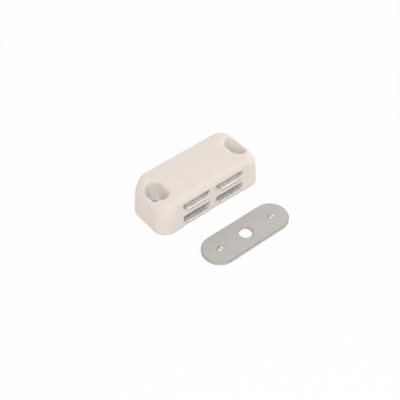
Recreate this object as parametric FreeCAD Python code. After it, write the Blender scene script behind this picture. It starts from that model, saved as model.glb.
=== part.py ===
import FreeCAD, Part
import math
import os
from FreeCAD import Vector

# Magnetic cupboard catch with its strike plate. Millimetres, +Z up.
# Origin: middle of the housing's base. +X runs along the housing, the pole tongues point to -Y.

# Magnet pack: one ferrite block between two stamped pole plates
plate_thickness = 1.2
plate_length = 24.8
plate_depth = 18.4
plate_corner_radius = 0.7
plate_edge_chamfer = 0.2
notch_width = 5.8
magnet_thickness = 5.2
magnet_front_inset = 5.4
magnet_back_inset = 0.4
magnet_end_inset = 0.6
magnet_chamfer = 0.4

# How the pack sits in its tunnel: it floats up and down, and its tongues stand out at the front
tongue_reach = 1.0
side_play = 1.2
float_travel = 1.8
float_clearance = 0.1
notch_clearance = 0.2

# Grid that splits the front of the tunnel into four windows
rib_width = 2.5
grid_thickness = 1.6
grid_setback = 0.3

# Snap tabs under the tunnel's roof, behind the pack
tab_width = 4.0
tab_spacing = 15.0
tab_thickness = 1.4
tab_overlap = 0.4
tab_clearance = 0.3
tab_lead_in = 0.6
tab_setback = 0.5

# Screw-head pockets at both ends, with a slot in each floor
head_pocket_width = 6.2
pocket_forward = 0.3
pocket_floor = 5.5
pocket_flare = 1.5
slot_width = 4.0
slot_travel = 3.1

# Walls of the moulding
floor_thickness = 1.6
roof_thickness = 2.9
pocket_wall = 1.2
end_wall = 2.0
boss_wall = 1.4
recess_wall = 1.5
recess_roof = 9.0

# Outer form of the moulding
front_corner_radius = 5.25
back_corner_radius = 4.85
crown_corner_share = 0.5
end_lean = 1.2
shoulder_width = 4.1
shoulder_height = 7.4
long_edge_radius = 2.4

# Strike plate
strike_length = 36.3
strike_width = 12.9
strike_thickness = 1.2
strike_edge_chamfer = 0.25
strike_hole_radius = 2.4
strike_hole_chamfer = 0.2
strike_offset = 0.8
strike_gap = 9.85
pip_spacing = 23.4
pip_radius = 1.1
pip_height = 0.55
pit_radius = 0.9
pit_end_radius = 0.5

# Sizes that follow from the pack and the walls round it
window_height = plate_thickness + float_travel + 2 * float_clearance
window_half_length = plate_length / 2 + side_play
screw_spacing = 2 * (window_half_length + pocket_wall) + head_pocket_width
housing_length = screw_spacing + head_pocket_width + 2 * end_wall
housing_depth = plate_depth - tongue_reach + tab_clearance + tab_thickness + tab_setback
lower_plate_z = floor_thickness + float_clearance
magnet_z = lower_plate_z + plate_thickness
upper_plate_z = magnet_z + magnet_thickness
upper_window_sill = upper_plate_z - float_clearance
tunnel_roof = upper_window_sill + window_height
housing_height = tunnel_roof + roof_thickness

# Places along Y
front_face = -housing_depth / 2
back_face = housing_depth / 2
grid_front = front_face + grid_setback
grid_back = grid_front + grid_thickness
plate_front = front_face - tongue_reach
plate_back = plate_front + plate_depth
pocket_y = -pocket_forward
strike_centre_y = front_face - strike_gap - strike_width / 2

# How far a cutting body runs past the face it opens
overrun = 1.0


def box(low, high):
    """Box between two opposite corners."""
    size = [b - a for a, b in zip(low, high)]
    return Part.makeBox(*size, Vector(*low))


def stadium(width, length, z):
    """Flat obround face at height z, its straight sides along Y, centred on the Z axis."""
    radius = width / 2
    half = length / 2 - radius
    right = Part.LineSegment(Vector(radius, -half, z), Vector(radius, half, z))
    far = Part.Arc(Vector(radius, half, z), Vector(0, half + radius, z), Vector(-radius, half, z))
    left = Part.LineSegment(Vector(-radius, half, z), Vector(-radius, -half, z))
    near = Part.Arc(Vector(-radius, -half, z), Vector(0, -half - radius, z), Vector(radius, -half, z))
    return Part.Face(Part.Wire([curve.toShape() for curve in (right, far, left, near)]))


def flat_edges(shape, z):
    """Edges of a shape that lie at height z."""
    return [e for e in shape.Edges if abs(e.BoundBox.ZMin - z) + abs(e.BoundBox.ZMax - z) < 1e-6]


def upright_edges(shape):
    """Straight edges of a prism that run from its bottom to its top."""
    return [e for e in shape.Edges if e.BoundBox.ZLength > shape.BoundBox.ZLength / 2]


def outline(half_length, half_depth, front_radius, back_radius, z):
    """Rounded rectangle at height z, with its own radii at the front and back corners."""
    corners = [
        (1, 1, back_radius),
        (-1, 1, back_radius),
        (-1, -1, front_radius),
        (1, -1, front_radius),
    ]
    arcs = []
    for index, (side, end, radius) in enumerate(corners):
        centre = Vector(side * (half_length - radius), end * (half_depth - radius), z)
        angles = [math.radians(90 * index + 45 * step) for step in range(3)]
        points = [centre + Vector(math.cos(a), math.sin(a), 0) * radius for a in angles]
        arcs.append(Part.Arc(*points))
    edges = []
    for index, arc in enumerate(arcs):
        following = arcs[(index + 1) % 4]
        edges.append(arc.toShape())
        edges.append(Part.LineSegment(arc.EndPoint, following.StartPoint).toShape())
    return Part.Wire(edges)


def drawn_in(height, rise, width):
    """How far an elliptical round-over has drawn in at a height above its start."""
    share = min(max(height / rise, 0.0), 1.0)
    return width * (1 - math.sqrt(1 - share * share))


def outer_sizes(z):
    """Half length, half depth and corner radii of the housing at height z."""
    shoulder = drawn_in(z - housing_height + shoulder_height, shoulder_height, shoulder_width)
    edge = drawn_in(z - housing_height + long_edge_radius, long_edge_radius, long_edge_radius)
    corner_share = 1 - (1 - crown_corner_share) * edge / long_edge_radius
    return (
        housing_length / 2 - end_lean * z / housing_height - shoulder,
        housing_depth / 2 - edge,
        front_corner_radius * corner_share,
        back_corner_radius * corner_share,
    )


def loft_between(low, high, steps):
    """Smooth solid through the housing's outlines between two heights, closer together towards the top."""
    base = housing_height - shoulder_height
    first = math.asin((low - base) / shoulder_height)
    last = math.asin((high - base) / shoulder_height)
    turns = [first + (last - first) * step / steps for step in range(steps + 1)]
    levels = [base + shoulder_height * math.sin(turn) for turn in turns]
    return Part.makeLoft([outline(*outer_sizes(z), z) for z in levels], True, False)


def housing_body():
    """Solid outer form: leaning sides, then the end shoulders, then the rounded top edges."""
    shoulder_start = housing_height - shoulder_height
    edge_start = housing_height - long_edge_radius
    levels = [0, shoulder_start]
    sides = Part.makeLoft([outline(*outer_sizes(z), z) for z in levels], True, True)
    shoulders = loft_between(shoulder_start, edge_start, 4)
    crown = loft_between(edge_start, housing_height, 7)
    return sides.fuse([shoulders, crown]).removeSplitter()


def pack_tunnel():
    """Space for the magnet pack, from the front windows to the open back, and the set-back of the grid."""
    half = window_half_length
    front = front_face - overrun
    tunnel = box((-half, front, floor_thickness), (half, back_face + overrun, tunnel_roof))
    setback = box((-half, front, -overrun), (half, grid_front, tunnel_roof))
    return tunnel.fuse(setback)


def grid():
    """Upright rib and cross web that split the front of the tunnel into four windows."""
    half = window_half_length
    web_bottom = floor_thickness + window_height
    rib = box((-rib_width / 2, grid_front, floor_thickness), (rib_width / 2, grid_back, tunnel_roof))
    web = box((-half, grid_front, web_bottom), (half, grid_back, upper_window_sill))
    return rib.fuse(web)


def snap_tab(x):
    """Tab that hangs from the tunnel's roof behind the upper pole plate, with a sloped lead-in."""
    front = plate_back + tab_clearance
    back = front + tab_thickness
    tip = upper_plate_z + plate_thickness - tab_overlap
    left = x - tab_width / 2
    profile = [
        Vector(left, front, tunnel_roof),
        Vector(left, front, tip),
        Vector(left, back - tab_lead_in, tip),
        Vector(left, back, tip + tab_lead_in),
        Vector(left, back, tunnel_roof),
        Vector(left, front, tunnel_roof),
    ]
    return Part.Face(Part.makePolygon(profile)).extrude(Vector(tab_width, 0, 0))


def screw_pocket(x):
    """Cutter for one screw-head pocket, flared at its mouth, with the slot through its floor."""
    length = head_pocket_width + slot_travel
    spread = 2 * (pocket_flare + overrun)
    column = stadium(head_pocket_width, length, pocket_floor)
    column = column.extrude(Vector(0, 0, housing_height - pocket_floor))
    mouth = stadium(head_pocket_width + spread, length + spread, housing_height)
    cutter = column.fuse(mouth.extrude(Vector(0, 0, overrun)))
    reach = head_pocket_width / 2 + overrun
    rim = flat_edges(cutter, housing_height)
    rim = [e for e in rim if -reach < e.BoundBox.XMin and e.BoundBox.XMax < reach]
    cutter = cutter.makeFillet(pocket_flare, rim)
    slot = stadium(slot_width, slot_width + slot_travel, -overrun)
    cutter = cutter.fuse(slot.extrude(Vector(0, 0, pocket_floor + 2 * overrun)))
    cutter.translate(Vector(x, pocket_y, 0))
    return cutter


def screw_boss(x):
    """Material that stays round one screw pocket below the recess roof."""
    width = head_pocket_width + 2 * boss_wall
    boss = stadium(width, width + slot_travel, -overrun).extrude(Vector(0, 0, recess_roof + overrun))
    boss.translate(Vector(x, pocket_y, 0))
    return boss


def end_recesses():
    """Hollows under both ends, between the outer wall, the tunnel's side wall and the screw boss."""
    half_length, half_depth, front_radius, back_radius = outer_sizes(recess_roof)
    inner = outline(
        half_length - recess_wall,
        half_depth - recess_wall,
        front_radius - recess_wall,
        back_radius - recess_wall,
        -overrun,
    )
    hollow = Part.Face(inner).extrude(Vector(0, 0, recess_roof + overrun))
    core = window_half_length + recess_wall
    middle = box((-core, front_face, -overrun), (core, back_face, recess_roof))
    return hollow.cut([middle] + [screw_boss(side * screw_spacing / 2) for side in (-1, 1)])


def housing():
    """The one-piece moulding."""
    shell = housing_body().cut(pack_tunnel()).cut(end_recesses())
    shell = shell.fuse([grid()] + [snap_tab(side * tab_spacing / 2) for side in (-1, 1)])
    shell = shell.cut([screw_pocket(side * screw_spacing / 2) for side in (-1, 1)])
    return shell.removeSplitter()


def pole_plate(z):
    """Stamped pole plate with two tongues at the front, lying at height z, its rolled edge upwards."""
    half = plate_length / 2
    top = z + plate_thickness
    plate = box((-half, plate_front, z), (half, plate_back, top))
    notch_half = notch_width / 2
    notch_back = grid_back + notch_clearance
    plate = plate.cut(box((-notch_half, plate_front - overrun, z), (notch_half, notch_back, top)))
    plate = plate.makeFillet(plate_corner_radius, upright_edges(plate))
    return plate.makeChamfer(plate_edge_chamfer, flat_edges(plate, top))


def magnet():
    """Ferrite block, chamfered at its corners as pressed blocks are."""
    half = plate_length / 2 - magnet_end_inset
    front = plate_front + magnet_front_inset
    back = plate_back - magnet_back_inset
    block = box((-half, front, magnet_z), (half, back, upper_plate_z))
    return block.makeChamfer(magnet_chamfer, upright_edges(block))


def dome(radius, height, x, z):
    """Ball whose cap above height z has the given radius and height."""
    ball_radius = (radius * radius + height * height) / (2 * height)
    return Part.makeSphere(ball_radius, Vector(x, 0, z + height - ball_radius))


def strike_plate():
    """Obround steel plate with a centre hole and two pips punched up from below."""
    plate = stadium(strike_width, strike_length, 0).extrude(Vector(0, 0, strike_thickness))
    plate = plate.makeChamfer(strike_edge_chamfer, flat_edges(plate, strike_thickness))
    hole = Part.makeCylinder(strike_hole_radius, strike_thickness + 2 * overrun, Vector(0, 0, -overrun))
    mouth_radius = strike_hole_radius + strike_hole_chamfer
    mouth_start = Vector(0, 0, strike_thickness - strike_hole_chamfer)
    mouth = Part.makeCone(strike_hole_radius, mouth_radius, strike_hole_chamfer, mouth_start)
    plate = plate.cut([hole, mouth])
    plate.rotate(Vector(0, 0, 0), Vector(0, 0, 1), 90)
    for side in (-1, 1):
        x = side * pip_spacing / 2
        low = (x - pip_radius, -pip_radius, strike_thickness / 2)
        high = (x + pip_radius, pip_radius, strike_thickness + pip_height)
        pip = dome(pip_radius, pip_height, x, strike_thickness).common(box(low, high))
        pit = Part.makeCone(pit_radius, pit_end_radius, pip_height, Vector(x, 0, 0))
        plate = plate.fuse(pip).cut(pit)
    plate.translate(Vector(strike_offset, strike_centre_y, 0))
    return plate.removeSplitter()


parts = {
    "housing": housing(),
    "upper_pole_plate": pole_plate(upper_plate_z),
    "lower_pole_plate": pole_plate(lower_plate_z),
    "magnet": magnet(),
    "strike_plate": strike_plate(),
}
os.makedirs("parts", exist_ok=True)
for name, shape in parts.items():
    shape.exportStep(f"parts/{name}.step")
    print(name, "solids", len(shape.Solids), "valid", shape.isValid(), "mm3", round(shape.Volume, 1))
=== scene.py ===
# %% [markdown]
# # A magnetic cupboard catch
# A small white moulding is screwed inside a cupboard. A magnet between two steel plates floats in it, and the ends
# of the plates look out through four windows. The flat steel plate in front goes on the door and is pulled to them.
# The solid shapes come ready made from the frame, so this lesson is about light, camera and finishes.

# %% Load the frame
import math

import bpy
from mathutils import Matrix, Vector

mm = 0.001

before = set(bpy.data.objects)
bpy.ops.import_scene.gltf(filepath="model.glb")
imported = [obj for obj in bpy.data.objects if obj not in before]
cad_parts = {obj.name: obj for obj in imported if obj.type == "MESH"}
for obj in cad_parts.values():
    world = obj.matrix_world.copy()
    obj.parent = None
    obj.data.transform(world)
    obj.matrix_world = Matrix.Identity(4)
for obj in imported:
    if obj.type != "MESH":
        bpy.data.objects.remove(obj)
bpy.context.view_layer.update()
print("nodes", sorted(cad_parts))

# %% [markdown]
# ## Camera
# The catch was photographed from its front left corner, looking down at about 47 degrees, with a long lens so that
# its edges stay nearly parallel. A camera can be aimed with a tracking constraint, but building its axes from two
# angles and a small roll keeps every number readable.

# %% Place the camera
photo_turn = math.radians(38.774)
photo_tilt = math.radians(46.649)
photo_roll = math.radians(-0.292)
photo_distance = 0.33846


def camera_axes(turn, tilt, roll):
    """Right, up and backward directions of a camera that looks at the origin."""
    back = Vector((-math.sin(turn) * math.cos(tilt), -math.cos(turn) * math.cos(tilt), math.sin(tilt)))
    right = Vector((math.cos(turn), -math.sin(turn), 0))
    up = back.cross(right)
    return (
        right * math.cos(roll) + up * math.sin(roll),
        up * math.cos(roll) - right * math.sin(roll),
        back,
    )


right, up, back = camera_axes(photo_turn, photo_tilt, photo_roll)
lens = bpy.data.cameras.new("photo_lens")
lens.lens = 84.0
lens.sensor_width = 36.0
lens.shift_x = 0.0088
lens.shift_y = -0.017
lens.clip_start = 0.01
lens.clip_end = 10
camera = bpy.data.objects.new("photo_camera", lens)
camera.matrix_world = Matrix.Translation(back * photo_distance) @ Matrix((right, up, back)).transposed().to_4x4()
bpy.context.collection.objects.link(camera)
bpy.context.scene.camera = camera
print("camera at mm", [round(v / mm) for v in camera.location])

# %% [markdown]
# ## Joining shader nodes
# Every finish below is a small network of shader nodes. Four helpers keep the cells short: one adds a node, one
# feeds a socket with a number or with another socket, one does a sum, and one moves a value from one range to
# another. They are all that a node tree needs.

# %% Helpers for node trees
def add(tree, kind, **settings):
    """New node in a tree, with some of its properties set."""
    node = tree.nodes.new(kind)
    for key, value in settings.items():
        setattr(node, key, value)
    return node


def feed(tree, target, value):
    """Give a socket a number, or link another socket to it."""
    if isinstance(value, bpy.types.NodeSocket):
        tree.links.new(value, target)
    else:
        target.default_value = value


def sum_of(tree, operation, *values):
    """Output of a Math node that works on numbers or sockets."""
    node = add(tree, "ShaderNodeMath", operation=operation)
    for socket, value in zip(node.inputs, values):
        feed(tree, socket, value)
    return node.outputs[0]


def steps(tree, value, low, high, to_low=0.0, to_high=1.0):
    """Clamped change of a value from one range to another."""
    node = add(tree, "ShaderNodeMapRange")
    for socket, number in zip(node.inputs, (value, low, high, to_low, to_high)):
        feed(tree, socket, number)
    return node.outputs[0]


print("node helpers ready")

# %% [markdown]
# ## Floor
# The ground is a plain white sheet. A sheet that is only white paint would have to be lit very brightly to come out
# white, and the catch with it. So the camera sees part of its whiteness as a glow of its own, and the rest is paint,
# which keeps the soft shadow under the catch. Mirror-like metal sees the same glow.

# %% Build the floor
sheet_width = 6
paint_white = (0.92, 0.92, 0.92, 1)
glow_share = 0.92


def seen_directly(tree):
    """Light Path mask that is 1 for the camera, for mirror-like reflections and through clear things."""
    path = add(tree, "ShaderNodeLightPath")
    either = sum_of(tree, "MAXIMUM", path.outputs["Is Camera Ray"], path.outputs["Is Glossy Ray"])
    return sum_of(tree, "MAXIMUM", either, path.outputs["Is Transmission Ray"])


bpy.ops.mesh.primitive_plane_add(size=sheet_width)
floor = bpy.context.object
floor.name = "floor"
sheet = bpy.data.materials.new("white_sheet")
sheet.use_nodes = True
tree = sheet.node_tree
tree.nodes.clear()
paint = add(tree, "ShaderNodeBsdfDiffuse")
paint.inputs["Color"].default_value = paint_white
glow = add(tree, "ShaderNodeEmission")
blend = add(tree, "ShaderNodeMixShader")
feed(tree, blend.inputs[0], sum_of(tree, "MULTIPLY", seen_directly(tree), glow_share))
feed(tree, blend.inputs[1], paint.outputs[0])
feed(tree, blend.inputs[2], glow.outputs[0])
feed(tree, add(tree, "ShaderNodeOutputMaterial").inputs["Surface"], blend.outputs[0])
floor.data.materials.append(sheet)
print("floor", floor.dimensions.x, "m wide")

# %% [markdown]
# ## Room
# The world is the white room round the catch. It lights the catch at about half strength, so that the lamps can
# still shape it, but the camera and the metal see it as plain white. The Light Path mask of the floor does that too.

# %% Build the room
room_light = 0.52
room_white = 1.0

world = bpy.data.worlds.new("white_room")
bpy.context.scene.world = world
world.use_nodes = True
sky = world.node_tree
sky.nodes.clear()
room = add(sky, "ShaderNodeBackground")
room.inputs["Color"].default_value = (1, 1, 1, 1)
feed(sky, room.inputs["Strength"], steps(sky, seen_directly(sky), 0.0, 1.0, room_light, room_white))
feed(sky, add(sky, "ShaderNodeOutputWorld").inputs["Surface"], room.outputs[0])
bpy.context.scene.view_settings.view_transform = "Standard"
print("room lights at", room_light, "and shows at", room_white)

# %% [markdown]
# ## Lamps
# The photo has hardly any shadow: the room itself gives most of the light and a few soft lamps shape it. A large one
# beside the camera reaches into the pockets and windows, one on the right keeps the right end light, and weak ones
# behind and at the back left lift the far sides. A small one in front on the right is mirrored by the rolled edges of
# the steel tongues and draws the bright line along them. One big dome would light it all, but without those lines.

# %% Hang the lamps
large = 0.25
small = 0.05


def softbox(name, place, size, power):
    """Square area lamp at a place in metres that faces the catch."""
    lamp = bpy.data.lights.new(name, "AREA")
    lamp.shape = "SQUARE"
    lamp.size = size
    lamp.energy = power
    holder = bpy.data.objects.new(name, lamp)
    holder.location = place
    holder.rotation_euler = Vector(place).to_track_quat("Z", "Y").to_euler()
    bpy.context.collection.objects.link(holder)
    print(name, place, power, "W")


softbox("camera_softbox", (-0.22, -0.27, 0.37), large, 1.01)
softbox("right_softbox", (0.55, 0.05, 0.22), large, 0.97)
softbox("edge_softbox", (0.22, -0.37, 0.27), small, 0.12)
softbox("back_softbox", (0.10, 0.50, 0.30), large, 0.23)
softbox("left_softbox", (-0.38, 0.28, 0.40), large, 0.10)

# %% [markdown]
# ## Shared effects
# Steel, plastic and ferrite age and shine in some of the same ways. Each of those ways is one shader node group with
# named sockets, built once and given other values in each material. A group only works out masks and heights. The
# shader that uses them stays in the material. Noise rarely comes near 0 or 1, so its middle is spread out: a wide
# part of it for fine grain, a narrower one for patches that stand apart.

# %% Helpers for node groups
grain_spread = (0.3, 0.7)
patch_spread = (0.35, 0.65)


def effect(name, inputs, outputs):
    """Empty shader node group with named float or vector sockets; gives its tree, its inputs and its end."""
    group = bpy.data.node_groups.new(name, "ShaderNodeTree")
    for label, default in inputs.items():
        kind = "NodeSocketVector" if isinstance(default, tuple) else "NodeSocketFloat"
        group.interface.new_socket(label, in_out="INPUT", socket_type=kind).default_value = default
    for label in outputs:
        group.interface.new_socket(label, in_out="OUTPUT", socket_type="NodeSocketFloat")
    return group, add(group, "NodeGroupInput").outputs, add(group, "NodeGroupOutput").inputs


def noise(tree, place, scale, detail=2.0):
    """Value of a noise texture at a place, or at drawn out coordinates."""
    node = add(tree, "ShaderNodeTexNoise")
    node.inputs["Detail"].default_value = detail
    feed(tree, node.inputs["Vector"], place)
    feed(tree, node.inputs["Scale"], scale)
    return node.outputs["Fac"]


def drawn_out(tree, place, factors):
    """Coordinates multiplied by one factor for each direction; a small one draws a pattern out."""
    node = add(tree, "ShaderNodeVectorMath", operation="MULTIPLY")
    feed(tree, node.inputs[0], place)
    feed(tree, node.inputs[1], factors)
    return node.outputs[0]


def use(tree, group, **values):
    """Place a group in a material with its own values; underscores stand for spaces."""
    node = add(tree, "ShaderNodeGroup", node_tree=group)
    for label, value in values.items():
        feed(tree, node.inputs[label.replace("_", " ")], value)
    return node.outputs


print("group helpers ready")

# %% [markdown]
# ### Rubbed edges
# Edges are where a moulding or a stamping is touched and tumbled, so they are smoother and lighter than the flats.
# On the zinc and the plastic the lighter edge colour is also partly painted light: a painted highlight on the zinc,
# and light through thin edges on the plastic.
# Wear could be painted by hand, but the Bevel node finds the edges by itself: where a rounded normal differs from
# the true one, there is an edge. Noise then breaks the line, because real wear is never even.

# %% Build the rubbed edge group
on_a_flat = 0.999
on_an_edge = 0.9

rubbed_edges, given, end = effect(
    "rubbed_edges",
    {"Place": (0.0, 0.0, 0.0), "Width": 0.3 * mm, "Patch Size": 1000.0, "Evenness": 0.5},
    ["Mask"],
)
rounded = add(rubbed_edges, "ShaderNodeBevel", samples=6)
feed(rubbed_edges, rounded.inputs["Radius"], given["Width"])
true_normal = add(rubbed_edges, "ShaderNodeNewGeometry")
turned = add(rubbed_edges, "ShaderNodeVectorMath", operation="DOT_PRODUCT")
feed(rubbed_edges, turned.inputs[0], rounded.outputs[0])
feed(rubbed_edges, turned.inputs[1], true_normal.outputs["Normal"])
edge = steps(rubbed_edges, turned.outputs["Value"], on_a_flat, on_an_edge)
patches = noise(rubbed_edges, given["Place"], given["Patch Size"])
broken = steps(rubbed_edges, patches, *patch_spread, given["Evenness"], 1.0)
feed(rubbed_edges, end["Mask"], sum_of(rubbed_edges, "MULTIPLY", edge, broken))
print("rubbed_edges has", len(rubbed_edges.nodes), "nodes")

# %% [markdown]
# ### Grain
# Rolled steel has fine lines along the way it was rolled, a moulding has the faint skin of its mould, and ferrite is
# gritty. All three are noise at some size, drawn out by some amount in one direction. Stretching the coordinates
# before the noise does that, and a second, broader noise gives the slow clouds that keep a surface from being flat.

# %% Build the grain group
grain, given, end = effect(
    "grain",
    {"Place": (0.0, 0.0, 0.0), "Stretch": (1.0, 1.0, 1.0), "Fine Scale": 3000.0, "Cloud Scale": 200.0},
    ["Fine", "Clouds"],
)
lines = drawn_out(grain, given["Place"], given["Stretch"])
fine = noise(grain, lines, given["Fine Scale"], detail=3.0)
clouds = noise(grain, given["Place"], given["Cloud Scale"])
feed(grain, end["Fine"], steps(grain, fine, *grain_spread))
feed(grain, end["Clouds"], steps(grain, clouds, *patch_spread))
print("grain has", len(grain.nodes), "nodes")

# %% [markdown]
# ### Sheared sides
# A punch shears steel: the sides of a stamping are matt and streaked from top to bottom, unlike its rolled faces.
# The sides are the faces whose normal lies level, so the normal's height alone separates them. The streaks are noise
# that hardly changes with height.

# %% Build the sheared side group
side_softness = -0.1
upright_streaks = (1.0, 1.0, 0.08)

sheared_sides, given, end = effect(
    "sheared_sides",
    {"Place": (0.0, 0.0, 0.0), "Streak Scale": 5000.0, "Steepest": 0.6},
    ["Mask", "Streaks"],
)
facing = add(sheared_sides, "ShaderNodeNewGeometry")
parts_of_normal = add(sheared_sides, "ShaderNodeSeparateXYZ")
feed(sheared_sides, parts_of_normal.inputs[0], facing.outputs["True Normal"])
looks_up = sum_of(sheared_sides, "ABSOLUTE", parts_of_normal.outputs["Z"])
past_steepest = sum_of(sheared_sides, "SUBTRACT", looks_up, given["Steepest"])
feed(sheared_sides, end["Mask"], steps(sheared_sides, past_steepest, 0.0, side_softness))
streak = noise(sheared_sides, drawn_out(sheared_sides, given["Place"], upright_streaks), given["Streak Scale"])
feed(sheared_sides, end["Streaks"], steps(sheared_sides, streak, *patch_spread))
print("sheared_sides has", len(sheared_sides.nodes), "nodes")

# %% [markdown]
# ## Finishes
# The frame gives each solid a plain material slot. Each slot gets its own finish. These helpers start a material,
# mix two colours by a mask, weaken a mask, turn heights in millimetres into a normal and put a finish on a solid.

# %% Helpers for finishes
def start_finish(name, metallic=0.0):
    """New material; gives it, its tree, its Principled shader and the object's own coordinates."""
    material = bpy.data.materials.new(name)
    material.use_nodes = True
    tree = material.node_tree
    shader = tree.nodes["Principled BSDF"]
    shader.inputs["Metallic"].default_value = metallic
    return material, tree, shader, add(tree, "ShaderNodeTexCoord").outputs["Object"]


def part_of(tree, mask, share):
    """Mask weakened to a share of itself, or kept only where a second mask is."""
    return sum_of(tree, "MULTIPLY", mask, share)


def blend_colours(tree, mask, first, second):
    """Colour between two colours or colour sockets."""
    node = add(tree, "ShaderNodeMix", data_type="RGBA")
    feed(tree, node.inputs["Factor"], mask)
    for socket, colour in ((node.inputs[6], first), (node.inputs[7], second)):
        feed(tree, socket, colour if isinstance(colour, bpy.types.NodeSocket) else (*colour, 1))
    return node.outputs[2]


def relief(tree, shader, *layers):
    """Bump nodes in a row, one for each height socket and its depth in metres."""
    normal = None
    for height, depth in layers:
        bump = add(tree, "ShaderNodeBump")
        bump.inputs["Distance"].default_value = depth
        feed(tree, bump.inputs["Height"], height)
        if normal:
            feed(tree, bump.inputs["Normal"], normal)
        normal = bump.outputs[0]
    feed(tree, shader.inputs["Normal"], normal)


def dress(node, material):
    """Put one material on all slots of a solid."""
    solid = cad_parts[node]
    if not solid.material_slots:
        solid.data.materials.append(material)
    for slot in solid.material_slots:
        slot.material = material
    print(node, "wears", material.name, "with", len(material.node_tree.nodes), "nodes")


# %% [markdown]
# ### White moulded plastic
# The housing is a warm white moulding with a soft sheen. Light goes a little way into such plastic, so the shader
# scatters it under the surface. It also passes through the thin walls round the pockets and the slots, which look
# lighter than their shade allows. Deep scattering would show that but blurs every edge, so that light is painted in
# instead: the places that the body itself hides get a paler colour, found by an Ambient Occlusion node that only
# looks at its own object. The colour drifts a little with the flow of the melt, the skin has a very fine grain, and
# edges are smoother and a little paler, partly from wear and partly as painted light through thin edges.

# %% Finish the housing
first_melt = (0.83, 0.76, 0.705)
second_melt = (0.855, 0.78, 0.715)
# Edge colour: partly wear, partly painted light where thin edges let light through.
rubbed_and_lit_white = (0.87, 0.80, 0.745)
# Painted light: a pale colour for the hollows, in place of light that comes through thin walls.
painted_light_white = (0.99, 0.945, 0.90)
speckle_tan = (0.76, 0.665, 0.60)
skin_roughness = (0.42, 0.56)
open_air, enclosed = 0.95, 0.6

white_plastic, tree, shader, place = start_finish("white_plastic")
skin = use(tree, grain, Place=place, Fine_Scale=3200.0, Cloud_Scale=160.0)
rubbed_and_lit_edge = use(tree, rubbed_edges, Place=place, Width=0.4 * mm, Patch_Size=900.0, Evenness=0.6)["Mask"]
# Painted light: the places that this node finds hidden are painted paler, in place of light through thin walls.
painted_light_ao = add(tree, "ShaderNodeAmbientOcclusion", samples=8, only_local=True)
painted_light_ao.inputs["Distance"].default_value = 6 * mm
painted_light_share = steps(tree, painted_light_ao.outputs["AO"], open_air, enclosed, 0.0, 0.9)
melt = blend_colours(tree, skin["Clouds"], first_melt, second_melt)
edged = blend_colours(tree, part_of(tree, rubbed_and_lit_edge, 0.35), melt, rubbed_and_lit_white)
with_painted_light = blend_colours(tree, painted_light_share, edged, painted_light_white)
speckled = blend_colours(tree, part_of(tree, skin["Fine"], 0.06), with_painted_light, speckle_tan)
feed(tree, shader.inputs["Base Color"], speckled)
matt = steps(tree, skin["Fine"], 0.0, 1.0, *skin_roughness)
feed(tree, shader.inputs["Roughness"], sum_of(tree, "SUBTRACT", matt, part_of(tree, rubbed_and_lit_edge, 0.1)))
shader.inputs["Specular IOR Level"].default_value = 0.25
shader.inputs["Subsurface Weight"].default_value = 1.0
shader.inputs["Subsurface Radius"].default_value = (1.0, 0.97, 0.94)
shader.inputs["Subsurface Scale"].default_value = 1 * mm
relief(tree, shader, (skin["Fine"], 0.014 * mm))
dress("housing", white_plastic)

# %% [markdown]
# ### Zinc plated pole plates
# The pole plates are cut from rolled strip and zinc plated, a little dull and grey. Fine lines run along the strip,
# clouds show where the zinc took differently, the sheared sides are streaked, and the rolled-over edges are rubbed
# bright; that bright edge colour is partly wear and partly a painted highlight. The upper tongues are light and even
# and the lower ones darker and stained, so one function makes the finish twice, from other cloud colours and another
# cloud size. The lower copy's patches stand for stains, and its darker colours are also painted shade, for the
# shadow of the upper plate.

# %% Finish the pole plates
zinc_line = (0.58, 0.565, 0.525)
dark_streak = (0.50, 0.49, 0.455)
light_streak = (0.68, 0.665, 0.625)
# Edge colour: partly wear, partly a painted highlight along the rolled edges.
rubbed_zinc_and_highlight = (0.95, 0.94, 0.90)
zinc_roughness = (0.34, 0.46)


def zinc_finish(name, dark, light, cloud_scale):
    """Zinc plated strip, clouded between two colours."""
    material, tree, shader, place = start_finish(name, metallic=0.35)
    strip = use(tree, grain, Place=place, Stretch=(0.08, 1.0, 1.0), Fine_Scale=4000.0, Cloud_Scale=cloud_scale)
    sides = use(tree, sheared_sides, Place=place, Streak_Scale=4500.0)
    rubbed_and_lit_edge = use(tree, rubbed_edges, Place=place, Width=0.2 * mm, Patch_Size=1500.0, Evenness=0.4)["Mask"]
    clouded = blend_colours(tree, strip["Clouds"], dark, light)
    lined = blend_colours(tree, part_of(tree, strip["Fine"], 0.3), clouded, zinc_line)
    streaked = blend_colours(tree, sides["Streaks"], dark_streak, light_streak)
    cut = blend_colours(tree, sides["Mask"], lined, streaked)
    feed(tree, shader.inputs["Base Color"], blend_colours(tree, rubbed_and_lit_edge, cut, rubbed_zinc_and_highlight))
    dull = steps(tree, strip["Fine"], 0.0, 1.0, *zinc_roughness)
    duller = sum_of(tree, "ADD", dull, part_of(tree, sides["Mask"], 0.12))
    feed(tree, shader.inputs["Roughness"], sum_of(tree, "SUBTRACT", duller, part_of(tree, rubbed_and_lit_edge, 0.2)))
    grooves = part_of(tree, sides["Mask"], sides["Streaks"])
    relief(tree, shader, (strip["Fine"], 0.003 * mm), (grooves, 0.01 * mm))
    return material


zinc_steel = zinc_finish("zinc_steel", dark=(0.74, 0.73, 0.675), light=(0.90, 0.89, 0.83), cloud_scale=800.0)
# Lower plate: patches for real stains, and darker colours that are painted shade from the upper plate above it.
stained_and_shaded_zinc = zinc_finish("stained_and_shaded_zinc", dark=(0.54, 0.51, 0.48), light=(0.88, 0.86, 0.83), cloud_scale=1500.0)
dress("upper_pole_plate", zinc_steel)
dress("lower_pole_plate", stained_and_shaded_zinc)

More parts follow.
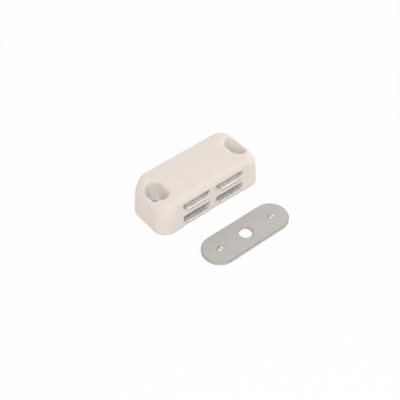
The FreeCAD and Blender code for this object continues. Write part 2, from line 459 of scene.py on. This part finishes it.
# %% [markdown]
# ### Nickel plated strike plate
# The strike plate is a stamping too, nickel plated after it was cut. It is smoother and slightly warmer than the
# zinc, with faint warm and grey clouds. Its sides are streaked, and the edge that the punch rolled over is painted
# dark grey, a painted dark reflection of what that edge mirrors. The tops of its two pips are polished. The pips are
# the only part above the plate, so their height alone finds them.

# %% Finish the strike plate
grey_nickel = (0.50, 0.49, 0.465)
warm_nickel = (0.54, 0.50, 0.46)
nickel_line = (0.44, 0.42, 0.40)
dark_side = (0.50, 0.485, 0.46)
light_side = (0.66, 0.645, 0.615)
# Painted dark reflection: the rolled edge gets this dark grey in place of what it mirrors.
rolled_dark_reflection_grey = (0.33, 0.315, 0.30)
satin_roughness = (0.36, 0.44)
above_plate, on_pip = 1.25 * mm, 1.4 * mm

nickel_steel, tree, shader, place = start_finish("nickel_steel", metallic=0.85)
strip = use(tree, grain, Place=place, Stretch=(0.1, 1.0, 1.0), Fine_Scale=3500.0, Cloud_Scale=190.0)
sides = use(tree, sheared_sides, Place=place, Streak_Scale=4500.0, Steepest=0.9)
upright = use(tree, sheared_sides, Place=place, Steepest=0.6)["Mask"]
height = add(tree, "ShaderNodeSeparateXYZ")
feed(tree, height.inputs[0], place)
polish = steps(tree, height.outputs["Z"], above_plate, on_pip)
cut = part_of(tree, sides["Mask"], sum_of(tree, "SUBTRACT", 1.0, polish))
# Mask of the rolled edge, which carries the painted dark reflection.
rolled_edge_reflection = sum_of(tree, "SUBTRACT", cut, upright)
clouded = blend_colours(tree, strip["Clouds"], grey_nickel, warm_nickel)
lined = blend_colours(tree, part_of(tree, strip["Fine"], 0.2), clouded, nickel_line)
streaked = blend_colours(tree, sides["Streaks"], dark_side, light_side)
trimmed = blend_colours(tree, cut, lined, streaked)
feed(tree, shader.inputs["Base Color"], blend_colours(tree, rolled_edge_reflection, trimmed, rolled_dark_reflection_grey))
satin = steps(tree, strip["Fine"], 0.0, 1.0, *satin_roughness)
polished = sum_of(tree, "SUBTRACT", satin, part_of(tree, polish, 0.18))
feed(tree, shader.inputs["Roughness"], sum_of(tree, "ADD", polished, part_of(tree, cut, 0.2)))
relief(tree, shader, (strip["Fine"], 0.002 * mm), (part_of(tree, cut, sides["Streaks"]), 0.01 * mm))
dress("strike_plate", nickel_steel)

# %% [markdown]
# ### Ferrite magnet
# The magnet is pressed and fired ceramic, almost black and matt, gritty under the fingers and chipped grey along its
# edges. It shows through the open back, and at the top of the pack's float also a little in the windows.

# %% Finish the magnet
black_clay = (0.028, 0.027, 0.026)
brown_clay = (0.045, 0.043, 0.042)
grit_grey = (0.08, 0.077, 0.074)
chip_grey = (0.13, 0.127, 0.124)
fired_roughness = (0.6, 0.8)

ferrite, tree, shader, place = start_finish("ferrite")
grit = use(tree, grain, Place=place, Fine_Scale=5000.0, Cloud_Scale=400.0)
chips = use(tree, rubbed_edges, Place=place, Width=0.5 * mm, Patch_Size=1800.0, Evenness=0.0)["Mask"]
fired = blend_colours(tree, grit["Clouds"], black_clay, brown_clay)
gritty = blend_colours(tree, part_of(tree, grit["Fine"], 0.4), fired, grit_grey)
feed(tree, shader.inputs["Base Color"], blend_colours(tree, chips, gritty, chip_grey))
feed(tree, shader.inputs["Roughness"], steps(tree, grit["Fine"], 0.0, 1.0, *fired_roughness))
relief(tree, shader, (grit["Clouds"], 0.02 * mm), (grit["Fine"], 0.012 * mm))
dress("magnet", ferrite)
